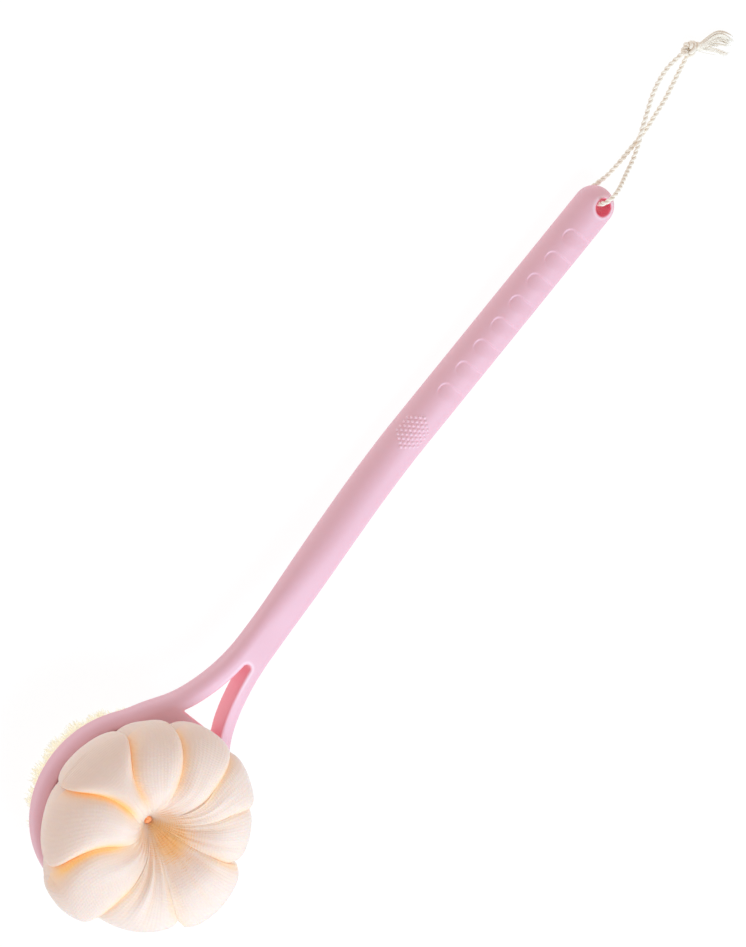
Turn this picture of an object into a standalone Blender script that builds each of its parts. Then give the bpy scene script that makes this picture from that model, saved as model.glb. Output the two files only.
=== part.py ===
"""Back scrubber: a long moulded handle with a mesh puff on one side of its head and bristles on the other.

The scrubber lies on its bristle tips and its grip, puff upwards. Metres, +Z up. X runs along the
handle from the head (-X) to the hanging loop (+X), and the origin is under the middle of the box
of everything but the loop. Shapes are worked out from the head's centre, in millimetres, and the
empty "scrubber" stands at that centre, on the floor.
"""

import math

import bmesh
import bpy
from mathutils import Matrix, Vector

MM = 0.001

# Head: a round rim with a web across it, all one moulding with the handle
HEAD_RADIUS = 44.6
HEAD_Z = 22.5  # height of the head's middle plane
HEAD_HALF_DEPTH = 5.7
RIM_ROUND = 4.2  # rounding of the rim's outer edges
RIM_WIDTH = 5.8
LIP_WIDTH = 1.4  # slope from the rim's top down to the web
WEB_TOP_Z = 25.2
WEB_THICK = 2.3
TIE_HOLE_RADIUS = 1.3

# Fork between the head and the neck
NECK_X = 90.0  # where the fork's outer curves run straight into the neck
NECK_HALF_WIDTH = 8.5
ARM_WIDTH = 7.6
FORK_INSET = 10.0  # how far the fork's blank reaches inside the head's circle
WINDOW_BASE_X = 48.8
WINDOW_CORNER = 1.6
CROTCH_X = 79.3  # middle of the round crotch
LOFT_START_X = 82.0  # the neck's own shape starts here, inside the fork

# Grip
GRIP_RADIUS = 9.0
GRIP_Z = 9.0
RISE_START_X = 65.0  # the handle drops from the head's level to the floor between these two
RISE_END_X = 204.0
TIP_X = 338.8  # end of the handle
NECK_SECTION_END_X = 150.0  # where the flat neck has become the round grip
TIP_BALL_X = TIP_X - GRIP_RADIUS  # the middle of the tip's rounding
HOLE_X = 331.7
HOLE_RADIUS = 3.7
RELIEF_Z = 3.2  # the underside round the hole is cut flat here, so the cord passes under it
RELIEF_X = 317.0
CUT_REACH = 25.0  # how far the cutting blocks run past what they cut

# Thumb marks across the front of the grip
MARK_COUNT = 8
FIRST_MARK_X = 222.7
MARK_PITCH = 12.25
MARK_LENGTH = 7.2
MARK_DEPTH = 0.35
MARK_HALF_ANGLE = math.radians(52)

# Bristle side
GAP = 0.3
PLATE_TOP_Z = 20.1
PLATE_THICK = 3.0
SOCKET_DEPTH = 2.0
TUFT_RING_STEP = 10.4
TUFT_RINGS = 3
TUFT_BASE_RADIUS = 2.5
TUFT_TIP_RADIUS = 4.7
TUFT_SIDES = 8

# Puff: nine pouches gathered round a tie
PUFF_RADIUS = 48.0
PUFF_Z = 49.0
PUFF_HALF_HEIGHT = 26.0
PUFF_INNER = 3.4  # the pouches start this far from the tie's middle
PUFF_REST = 0.4  # the pouches' gap to the web
PETAL_EDGES = (-146, -101, -55, -28, 8, 44, 75, 119, 174)  # degrees from +X, clockwise from above
TIE_RADIUS = 0.8
TIE_KNOT_HALF_LENGTH = 3.4
TIE_KNOT_HALF_WIDTH = 3.0
GATHER_Z = 47.0
GATHER_RADIUS = 1.9
GATHER_THREAD = 0.6

# Hanging loop: one cotton cord through the hole, its two ends tied in a knot and frayed
CORD_RADIUS = 1.0
FRONT_ROUTE = (
    (331.7, 2.2, 9.2), (331.7, 2.2, 12.5), (331.9, 2.25, 15.5), (333.3, 2.25, 18.4),
    (336.1, 1.7, 19.6), (339.6, 0.7, 18.6), (343.5, -0.9, 15.0), (347.5, -2.3, 10.8),
    (351.5, -3.3, 7.2), (356.0, -3.5, 4.8), (360.0, -2.6, 3.7), (364.0, -0.9, 3.5),
    (368.0, 1.2, 3.1), (372.0, 2.7, 2.3), (376.7, 4.4, 1.5), (381.5, 6.5, 1.1),
    (386.3, 8.3, 1.1), (392.5, 9.8, 1.3), (398.3, 10.4, 2.0), (404.6, 10.0, 3.0),
)
BACK_ROUTE = (
    (331.7, 2.2, 8.8), (331.7, 2.2, 6.6), (331.9, 2.25, 4.1), (332.9, 2.25, 2.2),
    (335.0, 2.0, 1.2), (338.6, 1.0, 1.05), (344.5, -0.6, 1.05), (351.4, -1.1, 1.05),
    (357.0, -1.1, 1.05), (362.4, -1.2, 1.05), (367.0, -1.2, 1.05), (371.2, -1.0, 1.05),
    (377.8, -0.1, 1.05), (385.2, 1.0, 1.05), (391.7, 2.6, 1.1), (397.4, 4.3, 1.5),
    (404.2, 6.6, 2.5),
)
CORD_POINTS = 44
KNOT_AT = (409.3, 8.4, 3.3)
KNOT_HALF = (3.8, 3.6, 3.2)
TASSEL_LENGTH = 18.5
TASSEL_HEADING = math.radians(-47)
TASSEL_START_RADIUS = 1.3
TASSEL_END_RADIUS = 5.2
TASSEL_HALF_HEIGHT = 1.7

HEAD_X = PUFF_RADIUS - (TIP_X + PUFF_RADIUS) / 2  # the head's centre, in the part's own frame

PINK = (0.80, 0.42, 0.50, 1.0)
IVORY = (0.90, 0.86, 0.70, 1.0)
CREAM = (0.93, 0.82, 0.72, 1.0)
COTTON = (0.90, 0.85, 0.74, 1.0)
AMBER = (0.86, 0.55, 0.27, 1.0)
WHITE = (0.90, 0.88, 0.86, 1.0)


def clear_scene():
    for o in list(bpy.data.objects):
        bpy.data.objects.remove(o, do_unlink=True)


def make_collection(name):
    collection = bpy.data.collections.new(name)
    bpy.context.scene.collection.children.link(collection)
    return collection


def make_material(name, colour, roughness):
    material = bpy.data.materials.new(name)
    material.use_nodes = True
    shader = material.node_tree.nodes["Principled BSDF"]
    shader.inputs["Base Color"].default_value = colour
    shader.inputs["Roughness"].default_value = roughness
    shader.inputs["Metallic"].default_value = 0.0
    return material


clear_scene()
PARTS = make_collection("loofah_back_scrubber")
CUTTERS = make_collection("cutters")
PLASTIC = make_material("soft_touch_plastic", PINK, 0.55)
PLATE_PLASTIC = make_material("bristle_plate_plastic", WHITE, 0.5)
BRISTLE = make_material("bristle_filament", IVORY, 0.7)
NET = make_material("puff_net", CREAM, 0.85)
THREAD = make_material("puff_thread", AMBER, 0.8)
CORD = make_material("cotton_cord", COTTON, 0.9)


def make_empty(name, place, parent=None):
    empty = bpy.data.objects.new(name, None)
    empty.location = place
    empty.parent = parent
    PARTS.objects.link(empty)
    return empty


SCRUBBER = make_empty("scrubber", (HEAD_X * MM, 0, 0))
LOOP_PIVOT = make_empty("loop_pivot", (HOLE_X * MM, 0, GRIP_Z * MM), SCRUBBER)


def add_mesh_object(name, bm, material, parent=SCRUBBER, collection=PARTS, smooth_angle=35):
    """Turn a bmesh that was worked out in millimetres into an object in metres."""
    bmesh.ops.scale(bm, vec=(MM, MM, MM), verts=bm.verts)
    mesh = bpy.data.meshes.new(name)
    bm.to_mesh(mesh)
    bm.free()
    mesh.shade_smooth()
    mesh.set_sharp_from_angle(angle=math.radians(smooth_angle))
    if material:
        mesh.materials.append(material)
    o = bpy.data.objects.new(name, mesh)
    o.parent = parent
    collection.objects.link(o)
    return o


def hide_as_cutter(o):
    o.hide_render = True
    o.display_type = "WIRE"


def cut_or_join(target, tool, operation):
    modifier = target.modifiers.new(tool.name, "BOOLEAN")
    modifier.operation = operation
    modifier.solver = "EXACT"
    modifier.object = tool
    hide_as_cutter(tool)


def smooth_step(t):
    t = min(1.0, max(0.0, t))
    return t * t * (3 - 2 * t)


# ---- handle moulding ------------------------------------------------------------------------


def handle_axis_z(x):
    """Height of the handle's middle line: level at the head, then an S down to the floor."""
    drop = smooth_step((RISE_END_X - x) / (RISE_END_X - RISE_START_X))
    return GRIP_Z + (HEAD_Z - GRIP_Z) * drop


def handle_section(x):
    """Half width and half height of the handle at x."""
    flat = smooth_step((NECK_SECTION_END_X - x) / (NECK_SECTION_END_X - NECK_X))
    half_width = GRIP_RADIUS + (NECK_HALF_WIDTH - GRIP_RADIUS) * flat
    half_height = GRIP_RADIUS + (HEAD_HALF_DEPTH - GRIP_RADIUS) * flat
    end = max(0.0, (x - TIP_BALL_X) / GRIP_RADIUS)
    shrink = math.sqrt(max(0.0, 1 - end * end))
    return half_width * shrink, half_height * shrink


def fork_curve_y(x, offset):
    """The fork's curved side at x: an arc that touches the head's circle and the neck's side."""
    a, b, r = NECK_X, NECK_HALF_WIDTH, HEAD_RADIUS
    radius = (a * a + b * b - r * r) / (2 * (r - b))
    return b + radius - math.sqrt((radius + offset) ** 2 - (x - a) ** 2)


def fork_touch_x():
    """Where the fork's outer curve touches the head's circle."""
    a, b, r = NECK_X, NECK_HALF_WIDTH, HEAD_RADIUS
    radius = (a * a + b * b - r * r) / (2 * (r - b))
    return r * a / (r + radius)


def loft_handle():
    """The neck and grip as rings of points, closed at the neck by a face and at the tip by a point."""
    bm = bmesh.new()
    sides = 20
    neck_steps = [LOFT_START_X + 10 * i for i in range(12)]
    grip_steps = [RISE_END_X + 10 + 24 * i for i in range(5)]
    tip_steps = [TIP_BALL_X + GRIP_RADIUS * math.sin(math.radians(15 * i)) for i in range(6)]
    rings = []
    for x in neck_steps + grip_steps + tip_steps:
        half_width, half_height = handle_section(x)
        z = handle_axis_z(x)
        ring = []
        for k in range(sides):
            turn = 2 * math.pi * k / sides
            ring.append(bm.verts.new((x, half_width * math.cos(turn), z + half_height * math.sin(turn))))
        rings.append(ring)
    for ring, after in zip(rings, rings[1:]):
        for k in range(sides):
            bm.faces.new((ring[k], ring[(k + 1) % sides], after[(k + 1) % sides], after[k]))
    bm.faces.new(rings[0])
    tip = bm.verts.new((TIP_X, 0, GRIP_Z))
    for k in range(sides):
        bm.faces.new((rings[-1][k], rings[-1][(k + 1) % sides], tip))
    bmesh.ops.recalc_face_normals(bm, faces=bm.faces)
    return bm


def arc_points(centre, radius, start, stop, steps):
    """Points on an arc, angles in degrees."""
    points = []
    for i in range(steps + 1):
        turn = math.radians(start + (stop - start) * i / steps)
        points.append((centre[0] + radius * math.cos(turn), centre[1] + radius * math.sin(turn)))
    return points


def flat_solid(name, outline, middle_z, half_height, rounding, collection):
    """A flat outline (mm) made solid, its edges rounded, as a mesh object."""
    data = bpy.data.curves.new(name, "CURVE")
    data.dimensions = "2D"
    data.fill_mode = "BOTH"
    data.extrude = (half_height - rounding) * MM
    data.bevel_depth = rounding * MM
    data.bevel_resolution = 2
    data.offset = -rounding * MM
    spline = data.splines.new("POLY")
    spline.points.add(len(outline) - 1)
    for point, (x, y) in zip(spline.points, outline):
        point.co = (x * MM, y * MM, 0, 1)
    spline.use_cyclic_u = True
    curve = bpy.data.objects.new(name + "_curve", data)
    curve.location = (0, 0, middle_z * MM)
    curve.parent = SCRUBBER
    collection.objects.link(curve)
    bpy.context.view_layer.update()
    graph = bpy.context.evaluated_depsgraph_get()
    mesh = bpy.data.meshes.new_from_object(curve.evaluated_get(graph))
    bm = bmesh.new()
    bm.from_mesh(mesh)
    bmesh.ops.remove_doubles(bm, verts=bm.verts, dist=0.00001)
    bmesh.ops.recalc_face_normals(bm, faces=bm.faces)
    bm.to_mesh(mesh)
    bm.free()
    solid = bpy.data.objects.new(name, mesh)
    collection.objects.link(solid)
    solid.matrix_world = curve.matrix_world
    bpy.data.objects.remove(curve, do_unlink=True)
    return solid


def fork_outline():
    """Along one curved side from the head's circle to the neck, and back along the other side."""
    touch = fork_touch_x()
    steps = 12
    side = [(touch + (NECK_X - touch) * i / steps) for i in range(steps + 1)]
    upper = [(x, fork_curve_y(x, 0)) for x in side]
    lower = [(x, -y) for x, y in reversed(upper)]
    inside_y = upper[0][1] - FORK_INSET
    inner = [(touch - FORK_INSET, -inside_y), (touch - FORK_INSET, inside_y)]
    return upper + lower + inner


def window_outline():
    """The gap in the fork: a straight edge by the head, two curved sides and a round crotch."""
    steps = 8
    start = WINDOW_BASE_X + WINDOW_CORNER
    side = [start + (CROTCH_X - start) * i / steps for i in range(steps + 1)]
    upper = [(x, fork_curve_y(x, ARM_WIDTH)) for x in side]
    crotch = arc_points((CROTCH_X, 0), upper[-1][1], 70, -70, 4)
    lower = [(x, -y) for x, y in reversed(upper)]
    corner_y = fork_curve_y(start, ARM_WIDTH) - WINDOW_CORNER
    low_corner = arc_points((start, -corner_y), WINDOW_CORNER, -105, -180, 3)
    high_corner = arc_points((start, corner_y), WINDOW_CORNER, 180, 105, 3)
    return upper + crotch + lower + low_corner + high_corner


def head_profile():
    """Half of the head's section, from the tie hole out over the web and the rim and back."""
    top = HEAD_Z + HEAD_HALF_DEPTH
    bottom = HEAD_Z - HEAD_HALF_DEPTH
    inner = HEAD_RADIUS - RIM_WIDTH
    corner = HEAD_RADIUS - RIM_ROUND
    points = [(TIE_HOLE_RADIUS, WEB_TOP_Z), (inner - LIP_WIDTH, WEB_TOP_Z), (inner + LIP_WIDTH / 2, top)]
    points += arc_points((corner, top - RIM_ROUND), RIM_ROUND, 90, 0, 4)
    points += arc_points((corner, bottom + RIM_ROUND), RIM_ROUND, 0, -90, 4)
    points += [(inner, bottom), (inner, WEB_TOP_Z - WEB_THICK), (TIE_HOLE_RADIUS, WEB_TOP_Z - WEB_THICK)]
    return points


def turned_object(name, profile, steps, material, collection, closed=True):
    """A turned piece: the profile's (radius, height) points swept round Z."""
    bm = bmesh.new()
    verts = [bm.verts.new((r, 0, z)) for r, z in profile]
    pairs = list(zip(verts, verts[1:]))
    if closed:
        pairs.append((verts[-1], verts[0]))
    for a, b in pairs:
        bm.edges.new((a, b))
    o = add_mesh_object(name, bm, material, collection=collection)
    screw = o.modifiers.new("turn", "SCREW")
    screw.steps = steps
    screw.render_steps = steps
    screw.use_merge_vertices = True
    screw.merge_threshold = 0.00001
    return o


def cylinder(radius, low, high, sides, centre=(0, 0)):
    bm = bmesh.new()
    place = Matrix.Translation((centre[0], centre[1], (low + high) / 2))
    bmesh.ops.create_cone(
        bm, cap_ends=True, segments=sides, radius1=radius, radius2=radius, depth=high - low, matrix=place
    )
    return bm


def mark_cutter(index):
    """A block bent round the front of the grip, which leaves a shallow thumb mark."""
    bm = bmesh.new()
    bmesh.ops.create_cube(bm, size=2.0)
    across = [e for e in bm.edges if abs(e.verts[0].co.y - e.verts[1].co.y) > 1]
    bmesh.ops.subdivide_edges(bm, edges=across, cuts=7, use_grid_fill=True)
    x_middle = FIRST_MARK_X + MARK_PITCH * index + MARK_LENGTH / 2
    for v in bm.verts:
        turn = MARK_HALF_ANGLE * v.co.y
        radius = GRIP_RADIUS + (2.0 if v.co.z > 0 else -MARK_DEPTH)
        x = x_middle + v.co.x * MARK_LENGTH / 2
        v.co = (x, radius * math.sin(turn), GRIP_Z + radius * math.cos(turn))
    return add_mesh_object(f"mark_cutter_{index + 1}", bm, None, collection=CUTTERS)


def build_handle():
    handle = add_mesh_object("handle", loft_handle(), PLASTIC)
    fork = flat_solid("fork_blank", fork_outline(), HEAD_Z, HEAD_HALF_DEPTH, RIM_ROUND, CUTTERS)
    pocket = cylinder(HEAD_RADIUS - RIM_WIDTH / 2, HEAD_Z - CUT_REACH, HEAD_Z + CUT_REACH, 48)
    pocket = add_mesh_object("pocket_cutter", pocket, None, collection=CUTTERS)
    cut_or_join(fork, pocket, "DIFFERENCE")
    cut_or_join(handle, fork, "UNION")
    head = turned_object("head_blank", head_profile(), 48, None, CUTTERS)
    cut_or_join(handle, head, "UNION")
    window = flat_solid("window_cutter", window_outline(), HEAD_Z, CUT_REACH, 0, CUTTERS)
    cut_or_join(handle, window, "DIFFERENCE")
    hole = cylinder(HOLE_RADIUS, GRIP_Z - CUT_REACH, GRIP_Z + CUT_REACH, 20, (HOLE_X, 0))
    hole = add_mesh_object("hole_cutter", hole, None, collection=CUTTERS)
    cut_or_join(handle, hole, "DIFFERENCE")
    relief = bmesh.new()
    bmesh.ops.create_cube(relief, size=2 * CUT_REACH)
    bmesh.ops.translate(relief, vec=(RELIEF_X + CUT_REACH, 0, RELIEF_Z - CUT_REACH), verts=relief.verts)
    relief = add_mesh_object("relief_cutter", relief, None, collection=CUTTERS)
    cut_or_join(handle, relief, "DIFFERENCE")
    for index in range(MARK_COUNT):
        cut_or_join(handle, mark_cutter(index), "DIFFERENCE")
    return handle


# ---- bristle side ---------------------------------------------------------------------------


def tuft_places():
    """One tuft in the middle and rings of 6, 12 and 18 round it."""
    places = [(0.0, 0.0)]
    for ring in range(1, TUFT_RINGS + 1):
        count = 6 * ring
        for k in range(count):
            turn = 2 * math.pi * (k + 0.5 * (ring % 2)) / count
            reach = ring * TUFT_RING_STEP
            places.append((reach * math.cos(turn), reach * math.sin(turn)))
    return places


def build_bristle_side():
    plate_radius = HEAD_RADIUS - RIM_WIDTH - GAP
    plate = add_mesh_object(
        "bristle_plate",
        cylinder(plate_radius, PLATE_TOP_Z - PLATE_THICK, PLATE_TOP_Z, 48),
        PLATE_PLASTIC,
    )
    sockets = bmesh.new()
    root_z = PLATE_TOP_Z - PLATE_THICK + SOCKET_DEPTH
    for index, (x, y) in enumerate(tuft_places()):
        depth = SOCKET_DEPTH + 2
        place = Matrix.Translation((x, y, root_z + GAP - depth / 2))
        bmesh.ops.create_cone(
            sockets,
            cap_ends=True,
            segments=TUFT_SIDES,
            radius1=TUFT_BASE_RADIUS + 2 * GAP,
            radius2=TUFT_BASE_RADIUS + 2 * GAP,
            depth=depth,
            matrix=place,
        )
        tuft = bmesh.new()
        place = Matrix.Translation((x, y, root_z / 2))
        bmesh.ops.create_cone(
            tuft,
            cap_ends=True,
            segments=TUFT_SIDES,
            radius1=TUFT_TIP_RADIUS,
            radius2=TUFT_BASE_RADIUS,
            depth=root_z,
            matrix=place,
        )
        add_mesh_object(f"bristle_tuft_{index + 1:02d}", tuft, BRISTLE)
    cutter = add_mesh_object("socket_cutter", sockets, None, collection=CUTTERS)
    cut_or_join(plate, cutter, "DIFFERENCE")


# ---- puff -----------------------------------------------------------------------------------


def build_petal(index, start, stop):
    """One pouch: a sphere pressed into the wedge between two edges, flat where it meets the web."""
    middle = math.radians(-(start + stop) / 2)
    spread = math.tan(math.radians(stop - start) / 2)
    centre_r = (PUFF_INNER + PUFF_RADIUS) / 2
    half_r = (PUFF_RADIUS - PUFF_INNER) / 2
    lowest = WEB_TOP_Z + PUFF_REST
    bm = bmesh.new()
    bmesh.ops.create_uvsphere(bm, u_segments=12, v_segments=9, radius=1.0)
    for v in bm.verts:
        u, side, w = v.co.x, v.co.y, v.co.z
        flat = min(1.0, u * u + w * w)
        full = math.copysign(math.sqrt(1 - flat**4), side) if abs(side) > 0.001 else 0.0
        r = centre_r + half_r * u
        across = full * max(0.05, r * spread - GAP / 2)
        z = max(lowest, PUFF_Z + PUFF_HALF_HEIGHT * w)
        v.co = (
            r * math.cos(middle) - across * math.sin(middle),
            r * math.sin(middle) + across * math.cos(middle),
            z,
        )
    return add_mesh_object(f"puff_petal_{index + 1}", bm, NET, smooth_angle=80)


def build_puff():
    edges = list(PETAL_EDGES) + [PETAL_EDGES[0] + 360]
    for index, (start, stop) in enumerate(zip(edges, edges[1:])):
        build_petal(index, start, stop)
    knot_half = (WEB_TOP_Z - WEB_THICK - PLATE_TOP_Z) / 2 - GAP
    knot_z = (WEB_TOP_Z - WEB_THICK + PLATE_TOP_Z) / 2
    tie_low = knot_z + knot_half + GAP / 3
    add_mesh_object("puff_tie", cylinder(TIE_RADIUS, tie_low, GATHER_Z + 2, 10), THREAD)
    knot = bmesh.new()
    bmesh.ops.create_uvsphere(knot, u_segments=12, v_segments=8, radius=1.0)
    for v in knot.verts:
        v.co.x *= TIE_KNOT_HALF_LENGTH
        v.co.y *= TIE_KNOT_HALF_WIDTH
        v.co.z = knot_z + knot_half * v.co.z
    add_mesh_object("puff_tie_knot", knot, THREAD, smooth_angle=80)
    ring = arc_points((GATHER_RADIUS, GATHER_Z), GATHER_THREAD, 0, -315, 7)
    turned_object("puff_gather_ring", ring, 16, THREAD, PARTS)


# ---- hanging loop ---------------------------------------------------------------------------


def smooth_route(points, count):
    """Evenly spaced points on a smooth curve through the route's points."""
    fine = []
    for i in range(len(points) - 1):
        before = Vector(points[max(i - 1, 0)])
        start = Vector(points[i])
        stop = Vector(points[i + 1])
        after = Vector(points[min(i + 2, len(points) - 1)])
        for k in range(12):
            t = k / 12
            place = 2 * start + (stop - before) * t
            place += (2 * before - 5 * start + 4 * stop - after) * t * t
            place += (3 * start - before - 3 * stop + after) * t * t * t
            fine.append(place / 2)
    fine.append(Vector(points[-1]))
    along = [0.0]
    for a, b in zip(fine, fine[1:]):
        along.append(along[-1] + (b - a).length)
    result = []
    at = 0
    for k in range(count):
        wanted = along[-1] * k / (count - 1)
        while at < len(fine) - 2 and along[at + 1] < wanted:
            at += 1
        part = (wanted - along[at]) / (along[at + 1] - along[at])
        result.append(fine[at].lerp(fine[at + 1], min(1.0, part)))
    return result


def build_cord(name, route):
    data = bpy.data.curves.new(name, "CURVE")
    data.dimensions = "3D"
    data.bevel_depth = CORD_RADIUS * MM
    data.bevel_resolution = 2
    data.use_fill_caps = True
    spline = data.splines.new("POLY")
    points = smooth_route(route, CORD_POINTS)
    spline.points.add(len(points) - 1)
    pivot = Vector((HOLE_X, 0, GRIP_Z))
    for point, place in zip(spline.points, points):
        point.co = (*((place - pivot) * MM), 1)
    data.materials.append(CORD)
    o = bpy.data.objects.new(name, data)
    o.parent = LOOP_PIVOT
    PARTS.objects.link(o)
    return o


def build_hanging_loop():
    build_cord("hanging_cord_front", FRONT_ROUTE)
    build_cord("hanging_cord_back", BACK_ROUTE)
    pivot = Vector((HOLE_X, 0, GRIP_Z))
    knot_at = Vector(KNOT_AT) - pivot
    knot = bmesh.new()
    bmesh.ops.create_uvsphere(knot, u_segments=14, v_segments=10, radius=1.0)
    for v in knot.verts:
        v.co = knot_at + Vector(a * b for a, b in zip(v.co, KNOT_HALF))
    add_mesh_object("hanging_knot", knot, CORD, LOOP_PIVOT, smooth_angle=80)
    tassel = bmesh.new()
    bmesh.ops.create_cone(
        tassel,
        cap_ends=True,
        segments=12,
        radius1=1.0,
        radius2=1.0,
        depth=1.0,
        matrix=Matrix.Rotation(math.radians(90), 4, "Y"),
    )
    heading = Matrix.Rotation(TASSEL_HEADING, 3, "Z")
    clear_of_knot = KNOT_HALF[0] + GAP
    for v in tassel.verts:
        far = v.co.x > 0
        half_width = TASSEL_END_RADIUS if far else TASSEL_START_RADIUS
        half_height = TASSEL_HALF_HEIGHT if far else TASSEL_START_RADIUS
        reach = clear_of_knot + (TASSEL_LENGTH if far else 0)
        height = TASSEL_HALF_HEIGHT + GAP - KNOT_AT[2] if far else -GAP
        local = Vector((reach, v.co.y * half_width, v.co.z * half_height + height))
        v.co = knot_at + heading @ local
    add_mesh_object("hanging_tassel", tassel, CORD, LOOP_PIVOT)


build_handle()
build_bristle_side()
build_puff()
build_hanging_loop()
bpy.context.view_layer.update()
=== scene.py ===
"""Looks of the back scrubber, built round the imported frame.

Shapes are worked out in millimetres from the head's centre, which stands on the floor at HEAD,
and are moved into the frame, in metres, when each piece is made.
"""

import math

import bmesh
import bpy
import numpy as np
from mathutils import Matrix, Vector


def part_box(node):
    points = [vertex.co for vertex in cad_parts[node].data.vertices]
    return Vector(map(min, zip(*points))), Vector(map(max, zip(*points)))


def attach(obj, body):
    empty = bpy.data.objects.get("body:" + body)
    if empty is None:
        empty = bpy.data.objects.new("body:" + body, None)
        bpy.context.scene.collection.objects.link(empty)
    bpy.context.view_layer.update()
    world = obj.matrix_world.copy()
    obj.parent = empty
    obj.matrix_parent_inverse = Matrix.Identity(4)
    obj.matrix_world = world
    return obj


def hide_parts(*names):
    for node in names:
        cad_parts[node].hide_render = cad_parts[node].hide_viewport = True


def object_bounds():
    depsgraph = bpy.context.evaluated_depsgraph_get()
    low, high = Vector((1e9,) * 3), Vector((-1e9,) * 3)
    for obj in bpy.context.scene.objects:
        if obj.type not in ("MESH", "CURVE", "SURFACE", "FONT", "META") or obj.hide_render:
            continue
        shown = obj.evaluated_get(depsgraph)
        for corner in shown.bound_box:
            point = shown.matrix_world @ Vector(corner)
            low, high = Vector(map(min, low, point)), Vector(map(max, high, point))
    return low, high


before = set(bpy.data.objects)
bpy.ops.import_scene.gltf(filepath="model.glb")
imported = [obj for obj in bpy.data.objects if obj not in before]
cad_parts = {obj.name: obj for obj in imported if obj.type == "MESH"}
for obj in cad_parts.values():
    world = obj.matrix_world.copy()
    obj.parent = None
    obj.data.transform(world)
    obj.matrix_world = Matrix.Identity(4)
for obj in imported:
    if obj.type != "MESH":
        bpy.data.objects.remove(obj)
CAD_LOW, CAD_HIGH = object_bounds()

MM = 0.001


def middle_of(node):
    low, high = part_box(node)
    return (low + high) / 2


HEAD = Vector((middle_of("bristle_tuft_01").x, 0, 0))
TIP_X = (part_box("handle")[1].x - HEAD.x) / MM
PLATE_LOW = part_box("bristle_plate")[0].z / MM
PLATE_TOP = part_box("bristle_plate")[1].z / MM
PLATE_RADIUS = (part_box("bristle_plate")[1].x - HEAD.x) / MM
PUFF_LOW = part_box("puff_petal_1")[0].z / MM


# ---- camera, lights and floor ---------------------------------------------------------------

VIEW_TILT = math.radians(31)  # the view leans this far from straight above, towards +Y
VIEW_ROLL = math.radians(51)  # the handle climbs to the right of the picture at this angle
LENS = 500.0  # long, because the picture has almost no perspective
SENSOR_WIDTH = 36.0
VIEW_HEIGHT = 410.4 * MM  # what the picture's long side spans at the object
AIM = HEAD + Vector((179.5, 1.45, 9.0)) * MM

# Along the handle, square to it in the picture, and towards the camera
ALONG = Vector((1, 0, 0))
ACROSS = Vector((0, -math.cos(VIEW_TILT), math.sin(VIEW_TILT)))
TO_VIEWER = Vector((0, math.sin(VIEW_TILT), math.cos(VIEW_TILT)))
VIEW_RIGHT = ALONG * math.cos(VIEW_ROLL) + ACROSS * math.sin(VIEW_ROLL)
VIEW_UP = ALONG * math.sin(VIEW_ROLL) - ACROSS * math.cos(VIEW_ROLL)

KEY_DIRECTION = ACROSS * 0.85 + TO_VIEWER * 0.48 - ALONG * 0.3
KEY_DISTANCE = 1.2
KEY_SIZE = 0.9
KEY_POWER = 8.6
KEY_COLOUR = (0.80, 1.11, 1.35)
WORLD_COLOUR = (1.03, 0.945, 0.90, 1)
WORLD_STRENGTH = 0.64
FLOOR_HALF = 3.0
FLOOR_GAP = 0.0002
FLOOR_GLOW = 0.93  # keeps the floor white where the object shades it


def make_camera():
    data = bpy.data.cameras.new("camera")
    data.lens = LENS
    data.sensor_fit = "AUTO"
    data.sensor_width = SENSOR_WIDTH
    distance = VIEW_HEIGHT * LENS / SENSOR_WIDTH
    data.clip_start = distance * 0.05
    data.clip_end = distance * 20
    camera = bpy.data.objects.new("camera", data)
    bpy.context.scene.collection.objects.link(camera)
    turn = Matrix((VIEW_RIGHT, VIEW_UP, TO_VIEWER)).transposed()
    camera.matrix_world = Matrix.Translation(AIM + TO_VIEWER * distance) @ turn.to_4x4()
    bpy.context.scene.camera = camera


def make_lights():
    data = bpy.data.lights.new("key", "AREA")
    data.shape = "DISK"
    data.size = KEY_SIZE
    data.energy = KEY_POWER
    data.color = KEY_COLOUR
    light = bpy.data.objects.new("key", data)
    bpy.context.scene.collection.objects.link(light)
    direction = KEY_DIRECTION.normalized()
    light.location = AIM + direction * KEY_DISTANCE
    light.rotation_mode = "QUATERNION"
    light.rotation_quaternion = direction.to_track_quat("Z", "Y")
    world = bpy.data.worlds.new("studio")
    world.use_nodes = True
    background = world.node_tree.nodes["Background"]
    background.inputs["Color"].default_value = WORLD_COLOUR
    background.inputs["Strength"].default_value = WORLD_STRENGTH
    bpy.context.scene.world = world
    bpy.context.scene.view_settings.view_transform = "Standard"


# ---- material helpers -----------------------------------------------------------------------


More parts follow.
